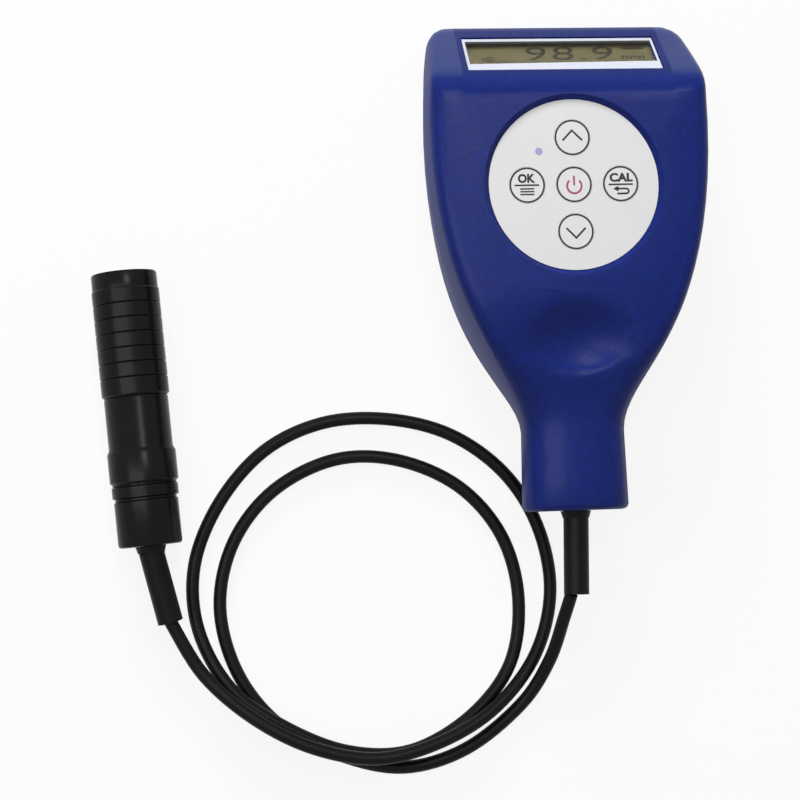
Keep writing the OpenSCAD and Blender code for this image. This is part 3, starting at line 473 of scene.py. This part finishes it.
class Print:
    """Flat strokes and shapes drawn in a plane, collected into one thin piece."""

    MITRE_MIN = 0.4
    LETTER_STEPS = 4

    def __init__(self, place):
        self.place = place
        self.verts = []
        self.faces = []

    def polygon(self, points):
        first = len(self.verts)
        self.verts += [self.place(*p) for p in points]
        self.faces.append(tuple(range(first, len(self.verts))))

    def stroke(self, points, width, closed=False):
        """A line of even width along points, with mitred corners."""
        p = [Vector(q) for q in points]
        n = len(p)
        left, right = [], []
        for i in range(n):
            before = p[i - 1] if closed or i else p[i] * 2 - p[i + 1]
            after = p[(i + 1) % n] if closed or i < n - 1 else p[i] * 2 - p[i - 1]
            d1 = (p[i] - before).normalized()
            d2 = (after - p[i]).normalized()
            d = (d1 + d2).normalized()
            side = Vector((-d.y, d.x)) * (width / 2 / max(self.MITRE_MIN, d.dot(d1)))
            left.append(p[i] + side)
            right.append(p[i] - side)
        for i in range(n if closed else n - 1):
            k = (i + 1) % n
            self.polygon([left[i], left[k], right[k], right[i]])

    def text(self, words, centre, width, height, weight=0.0, slant=0.0):
        """Plain lettering fitted into a box, with its strokes widened by a weight and leaning by a slant."""
        curve = bpy.data.curves.new("lettering", "FONT")
        curve.body = words
        curve.resolution_u = self.LETTER_STEPS
        curve.offset = weight
        holder = add("lettering", curve)
        bpy.context.view_layer.update()
        mesh = holder.to_mesh()
        xs = [v.co.x for v in mesh.vertices]
        ys = [v.co.y for v in mesh.vertices]
        sx = width / (max(xs) - min(xs))
        sy = height / (max(ys) - min(ys))
        mx, my = (max(xs) + min(xs)) / 2, (max(ys) + min(ys)) / 2
        first = len(self.verts)
        for v in mesh.vertices:
            x, y = (v.co.x - mx) * sx, (v.co.y - my) * sy
            self.verts.append(self.place(centre[0] + x + slant * y, centre[1] + y))
        self.faces += [tuple(first + i for i in f.vertices) for f in mesh.polygons]
        holder.to_mesh_clear()
        bpy.data.objects.remove(holder)
        bpy.data.curves.remove(curve)

    def make(self, name, look, slot, body="housing"):
        return piece(name, self.verts, self.faces, look, body, solid=PRINT_T)


# Keypad: a film with five openings, and a key face in each that travels with its plunger
KEYS = {"up": (0, KEY_PITCH), "ok": (-KEY_PITCH, 0), "power": (0, 0), "cal": (KEY_PITCH, 0),
        "down": (0, -KEY_PITCH)}
KEY_R = 4.08
KEY_SEAM = 0.03
KEY_FACE_T = 0.17
KEY_BEVEL = 0.02
STEM_R = PLUNGER_D / 2 - 0.1
STEM_DROP = 0.05
FILM_TOP = FILM_Z + FILM_T


def film_sheet(name, bottom, top, radius, holes, n=96):
    """A round sheet with round openings, filled between its edges."""
    b = bmesh.new()
    for r, (cx, cy) in [(radius, (0, KEYPAD_Y))] + [(KEY_R + KEY_SEAM, h) for h in holes]:
        ring = [b.verts.new(metres((x, y, bottom))) for x, y in ring_points(cx, cy, r, n)]
        for i in range(n):
            b.edges.new((ring[i], ring[(i + 1) % n]))
    bmesh.ops.triangle_fill(b, use_beauty=True, edges=b.edges[:])
    made = bmesh.ops.extrude_face_region(b, geom=b.faces[:])
    raised = [v for v in made["geom"] if isinstance(v, bmesh.types.BMVert)]
    bmesh.ops.translate(b, vec=Vector((0, 0, (top - bottom) * MM)), verts=raised)
    bmesh.ops.recalc_face_normals(b, faces=b.faces[:])
    mesh = bpy.data.meshes.new(name)
    b.to_mesh(mesh)
    b.free()
    obj = add(name, mesh)
    wear(obj, "film")
    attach(obj, "housing")
    return obj


key_at = {k: (x, KEYPAD_Y + y) for k, (x, y) in KEYS.items()}
film = film_sheet("keypad_film", FILM_Z, FILM_TOP, KEYPAD_D / 2 - FIT, list(key_at.values()))
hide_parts("keypad_overlay")
FACE_PROFILE = [
    (STEM_R, FILM_Z - STEM_DROP), (STEM_R, FILM_TOP - KEY_FACE_T), (KEY_R, FILM_TOP - KEY_FACE_T),
    (KEY_R, FILM_TOP - KEY_BEVEL), (KEY_R - KEY_BEVEL, FILM_TOP),
]
for key, at in key_at.items():
    lathe(key + "_key_face", FACE_PROFILE, at, "film", key + "_key")

# Signs on the keys, each about its key's centre
RING_R, RING_LINE, RING_SIDES = 3.78, 0.4, 72
ARROW_LINE = 0.42
UP_ARROW = [(-2.2, -0.65), (-0.05, 1.6), (2.2, -0.65)]
DOWN_ARROW = [(-2.1, 0.8), (0.05, -1.4), (2.2, 0.8)]
LETTER_WEIGHT = 0.045
OK_CENTRE, OK_W, OK_H = (-0.1, 1.5), 3.9, 2.05
CAL_CENTRE, CAL_W, CAL_H = (0.15, 1.42), 5.25, 2.0
RULE_LINE = 0.36
OK_RULE = [(-2.85, -0.02), (2.7, -0.02)]
CAL_RULE = [(-2.75, -0.14), (2.75, -0.14)]
MENU_X, MENU_LINE = (-1.6, 1.55), 0.32
MENU_ROWS = (-0.83, -1.45, -2.08)
RETURN_LINE = 0.4
RETURN_SHAFT = [(-0.8, -1.1), (1.2, -1.1)] + arc(1.2, -1.65, 0.55, 80, -80, 8) + [(1.2, -2.2), (-0.85, -2.2)]
RETURN_HEAD = [(-1.75, -1.1), (-0.55, -0.45), (-0.55, -1.75)]
POWER_RING, POWER_RING_LINE = arc(0.05, -0.35, 1.62, 132, 408, 40), 0.46
POWER_BAR, POWER_BAR_LINE = [(0.02, 1.95), (0.02, -0.2)], 0.44
LED_R, LED_SIDES = 0.85, 32


def film_print(x0, y0):
    """A print on top of the film, about a point of it."""
    return Print(lambda x, y: (x0 + x, y0 + y, FILM_TOP + PRINT_T / 2))


signs = {key: film_print(*at) for key, at in key_at.items()}
for sign in signs.values():
    sign.stroke(ring_points(0, 0, RING_R, RING_SIDES), RING_LINE, closed=True)
signs["up"].stroke(UP_ARROW, ARROW_LINE)
signs["down"].stroke(DOWN_ARROW, ARROW_LINE)
signs["ok"].text("OK", OK_CENTRE, OK_W, OK_H, LETTER_WEIGHT)
signs["ok"].stroke(OK_RULE, RULE_LINE)
for y in MENU_ROWS:
    signs["ok"].stroke([(x, y) for x in MENU_X], MENU_LINE)
signs["cal"].text("CAL", CAL_CENTRE, CAL_W, CAL_H, LETTER_WEIGHT)
signs["cal"].stroke(CAL_RULE, RULE_LINE)
signs["cal"].stroke(RETURN_SHAFT, RETURN_LINE)
signs["cal"].polygon(RETURN_HEAD)
for key, sign in signs.items():
    sign.make(key + "_key_print", "ink", "keypad_film", key + "_key")

power_sign = film_print(*key_at["power"])
power_sign.stroke(POWER_RING, POWER_RING_LINE)
power_sign.stroke(POWER_BAR, POWER_BAR_LINE)
power_sign.make("power_sign_print", "red_ink", "keypad_film", "power_key")

led_window = film_print(LED_X, LED_Y)
led_window.polygon(ring_points(0, 0, LED_R, LED_SIDES))
led_window.make("led_window", "led", "led_plastic")

# Display: the border on the lens with a dark strip at its far side that paints the border's shadow, and the
# figures on the glass under it.
# Points are (across, along the panel), and a four-sided outline starts at the near left corner.
BORDER_INSET = 0.03
RIM_X = LENS_W / 2 - BORDER_INSET
RIM_NEAR, RIM_FAR = LENS_V - LENS_H / 2 + BORDER_INSET, LENS_V + LENS_H / 2 - BORDER_INSET
RIM = [(-RIM_X, RIM_NEAR), (RIM_X, RIM_NEAR), (RIM_X, RIM_FAR), (-RIM_X, RIM_FAR)]
OPENING = [(-21.45, 8.35), (21.5, 9.1), (21.5, 18.4), (-21.45, 18.4)]
# Depth of the dark strip that paints the shadow under the opening's far side
SHADOW_STRIP_H = 1.1
SLANT = 0.15
BIG_FIGURES = (("9", -5.6), ("8", 0.75), ("9", 9.9))
BIG_V, BIG_W, BIG_H = 14.6, 4.8, 6.0
POINT = [(4.6, 11.6), (5.6, 11.6), (5.7, 12.5), (4.7, 12.5)]
SMALL_FIGURES = (("1", -19.4), ("0", -17.2))
SMALL_V, SMALL_W, SMALL_H, SMALL_LINE = 11.5, 1.4, 1.5, 0.45
BAR, BAR_LINE = [(14.6, 16.7), (19.85, 16.7)], 0.9
UNIT_X, UNIT_W, UNIT_LINE = (14.2, 16.1, 18.0), 1.2, 0.42
UNIT_NEAR, UNIT_FAR = 11.9, 13.1
# Strokes of a small figure, as shares of its width and height
SEGMENTS = {
    "a": [(0.14, 1), (0.86, 1)], "b": [(1, 0.93), (1, 0.55)], "c": [(1, 0.45), (1, 0.07)],
    "d": [(0.14, 0), (0.86, 0)], "e": [(0, 0.45), (0, 0.07)], "f": [(0, 0.93), (0, 0.55)],
}
FIGURES = {"1": "bc", "0": "abcdef"}


def panel_print(level):
    """A print on a surface of the display at a level below the panel."""
    return Print(lambda x, v: on_panel(x, v, level + PRINT_GAP + PRINT_T / 2))


border = panel_print(LENS_TOP)
for i in range(4):
    k = (i + 1) % 4
    border.polygon([RIM[i], RIM[k], OPENING[k], OPENING[i]])
border.make("lens_border", "lens_print", "clear_lens")

# A dark strip under the opening's far side: a painted shadow of the border falling on the display
shadow_strip = panel_print(LENS_TOP)
far_sides = [OPENING[3], OPENING[2]]
shadow_strip.polygon(far_sides + [(x, v - SHADOW_STRIP_H) for x, v in reversed(far_sides)])
shadow_strip.make("lens_painted_shadow", "painted_shadow_ink", "clear_lens")

figures = panel_print(GLASS_TOP)
for words, x in BIG_FIGURES:
    figures.text(words, (x, BIG_V), BIG_W, BIG_H, slant=SLANT)
figures.polygon(POINT)
for which, x in SMALL_FIGURES:
    for segment in FIGURES[which]:
        figures.stroke([(x + SMALL_W * u + SLANT * SMALL_H * r, SMALL_V + SMALL_H * r)
                        for u, r in SEGMENTS[segment]], SMALL_LINE)
figures.stroke(BAR, BAR_LINE)
for x in UNIT_X:
    figures.stroke([(x, UNIT_NEAR), (x, UNIT_FAR), (x + UNIT_W, UNIT_FAR), (x + UNIT_W, UNIT_NEAR)],
                   UNIT_LINE)
figures.make("lcd_figures", "segments", "lcd_panel")

# Floor, background and light, in metres and watts
FLOOR_HALF, FLOOR_Z = 3, -0.0001
FLOOR_WHITE, FLOOR_ROUGH = (0.85, 0.85, 0.85, 1), 0.9
FLOOR_GLOW = 0.88
WORLD_LEVEL = 0.15


def seen_ray(tree):
    """One for rays that show the background: straight from the camera, mirrored, or through glass."""
    path = tree.nodes.new("ShaderNodeLightPath")
    total = path.outputs["Is Camera Ray"]
    for kind in ("Is Glossy Ray", "Is Transmission Ray"):
        either = tree.nodes.new("ShaderNodeMath")
        either.operation = "MAXIMUM"
        link(tree, total, either.inputs[0])
        link(tree, path.outputs[kind], either.inputs[1])
        total = either.outputs["Value"]
    return total


floor_mesh = bpy.data.meshes.new("floor")
corners = [(-1, -1), (1, -1), (1, 1), (-1, 1)]
floor_mesh.from_pydata([(FLOOR_HALF * x, FLOOR_HALF * y, FLOOR_Z) for x, y in corners], [], [(0, 1, 2, 3)])
floor = add("floor", floor_mesh)

floor_look = bpy.data.materials.new("floor_white")
floor_look.use_nodes = True
tree = floor_look.node_tree
paper = tree.nodes["Principled BSDF"]
paper.inputs["Base Color"].default_value = FLOOR_WHITE
paper.inputs["Roughness"].default_value = FLOOR_ROUGH
glow = tree.nodes.new("ShaderNodeEmission")
share = tree.nodes.new("ShaderNodeMath")
share.operation = "MULTIPLY"
share.inputs[1].default_value = FLOOR_GLOW
mix = tree.nodes.new("ShaderNodeMixShader")
link(tree, seen_ray(tree), share.inputs[0])
link(tree, share.outputs["Value"], mix.inputs["Fac"])
link(tree, paper.outputs["BSDF"], mix.inputs[1])
link(tree, glow.outputs["Emission"], mix.inputs[2])
link(tree, mix.outputs["Shader"], tree.nodes["Material Output"].inputs["Surface"])
floor_mesh.materials.append(floor_look)

world = bpy.data.worlds.new("studio")
world.use_nodes = True
scene.world = world
tree = world.node_tree
back = tree.nodes["Background"]
back.inputs["Color"].default_value = (1, 1, 1, 1)
level = tree.nodes.new("ShaderNodeMapRange")
level.inputs["To Min"].default_value = WORLD_LEVEL
level.inputs["To Max"].default_value = 1.0
link(tree, seen_ray(tree), level.inputs["Value"])
link(tree, level.outputs["Result"], back.inputs["Strength"])


def softbox(name, at, aim, size, power):
    """A rectangular lamp at a place, turned towards its aim."""
    lamp = bpy.data.lights.new(name, "AREA")
    lamp.shape = "RECTANGLE"
    lamp.size, lamp.size_y = size
    lamp.energy = power
    obj = add(name, lamp)
    obj.location = at
    obj.rotation_euler = (Vector(aim) - Vector(at)).to_track_quat("-Z", "Y").to_euler()
    return obj


softbox("overhead", at=(0.04, 0.33, 0.85), aim=(-0.02, 0, 0), size=(0.2, 0.2), power=1.7)
softbox("left_light", at=(-0.42, 0.0, 0.8), aim=(-0.04, 0.0, 0), size=(0.26, 0.8), power=2.55)
far_light = softbox("far_light", at=(-0.2, 0.95, 0.47), aim=(-0.02, 0, 0.01), size=(0.35, 0.3), power=10.1)
far_light.visible_glossy = False

bpy.context.view_layer.update()
